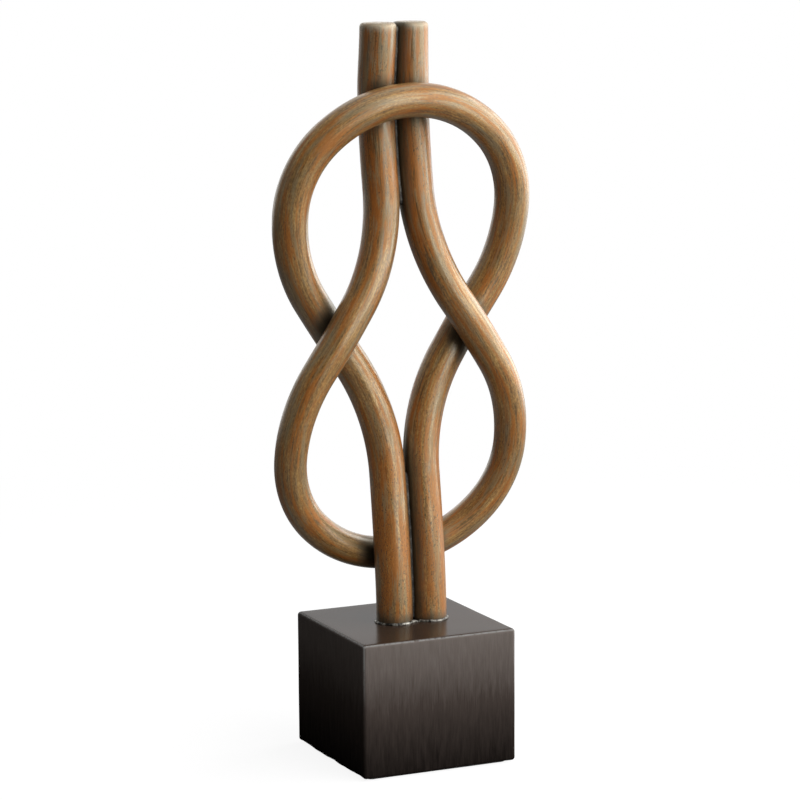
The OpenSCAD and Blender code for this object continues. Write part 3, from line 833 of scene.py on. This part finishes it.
# Floor and light
# A white floor that keeps the object's soft shadow, under a studio that is bright to the right and behind and
# dim to the left. A large soft light stands on the right, a tall one behind it draws the bright rims, and a
# weak one hangs overhead.
floor_size = 3
floor = mesh_piece("floor", [
    [-floor_size, -floor_size, 0], [floor_size, -floor_size, 0], [floor_size, floor_size, 0],
    [-floor_size, floor_size, 0]], [[0, 1, 2, 3]])


def seen_and_mirrored(shade):
    """1 for rays from the camera, and 1 for rays that metal or glass sends on."""
    seen = shade.node("LightPath", output="Is Camera Ray")
    glossy = shade.node("LightPath", output="Is Glossy Ray")
    return seen, glossy + shade.node("LightPath", output="Is Transmission Ray")


def toward(shade, place, way):
    """How far a place or a direction lies along a way."""
    return shade.node("VectorMath", {"operation": "DOT_PRODUCT"}, {0: place, 1: way}, "Value")


floor_finish, shade = new_finish("white_floor")
seen, mirrored = seen_and_mirrored(shade)
on_floor = shade.node("TexCoord", output="Object")
from_middle = shade.node("VectorMath", {"operation": "LENGTH"}, {0: on_floor}, "Value")
matte = shade.node("BsdfDiffuse", {}, {"Color": colour(110, 110, 110)})
glow = shade.node("Emission", {}, {"Color": (1, 1, 1, 1), "Strength": seen * 0.9 + mirrored * 0.12})
near_floor = shade.node("AddShader", {}, {0: matte, 1: glow})
# Painted light: in reflections the floor glows brighter toward the right, standing in for the key light
# falling on it.
lit_floor = 0.15 + 0.9 * toward(shade, on_floor, (0.9, -0.4, 0)).between(0.2, 1.4)
far_strength = seen + mirrored * lit_floor
far_light = shade.node("VectorMath", {"operation": "SCALE"}, {0: (1, 1, 1), "Scale": far_strength})
far_floor = shade.node("Emission", {}, {"Color": far_light, "Strength": 1})
surface = shade.node("MixShader", {}, {0: from_middle.between(0.3, 1.1), 1: near_floor, 2: far_floor})
shade.node("OutputMaterial", {}, {"Surface": surface})
put_on(floor_finish, floor)

world = bpy.data.worlds.new("studio")
bpy.context.scene.world = world
world.use_nodes = True
world.node_tree.nodes.clear()
shade = Shade(world.node_tree)
ray = shade.node("TexCoord", output="Generated")
right_way, behind_way, left_way = (0.87, -0.4, 0.28), (0.8, 0.6, 0), (-0.55, 0.83, 0)
studio = 0.08 + 0.55 * toward(shade, ray, right_way).between(-0.1, 1.0)
seen, mirrored = seen_and_mirrored(shade)
bright_back = toward(shade, ray, behind_way).between(-0.15, 0.55)
mirror = 0.03 + bright_back + 0.3 * toward(shade, ray, left_way).between(-0.2, 0.8)
strength = seen + mirrored * mirror + (1 - seen - mirrored) * studio
sky = shade.node("Background", {}, {"Color": (1, 1, 1, 1), "Strength": strength})
shade.node("OutputWorld", {}, {"Surface": sky})


light_middle = Vector((0, 0, 0.3))


def soft_light(name, turn, rise, far, wide, high, power):
    """A soft light that faces the middle of the sculpture, turned from the camera's side to the right."""
    lamp = bpy.data.objects.new(name, bpy.data.lights.new(name, "AREA"))
    bpy.context.scene.collection.objects.link(lamp)
    lamp.data.shape = "RECTANGLE"
    lamp.data.size, lamp.data.size_y = wide, high
    lamp.data.energy = power
    turn = camera_turn + radians(turn)
    rise = radians(rise)
    way = Vector((sin(turn) * cos(rise), -cos(turn) * cos(rise), sin(rise)))
    lamp.location = light_middle + way * far
    lamp.rotation_euler = way.to_track_quat("Z", "Y").to_euler()


soft_light("key_light", 61, 22, 1.8, 2.4, 2.0, 45)
soft_light("rim_light", 119, 12, 1.8, 1.6, 1.8, 27)
soft_light("top_light", 20, 74, 1.8, 1.6, 1.6, 7)
bpy.context.scene.view_settings.view_transform = "Standard"
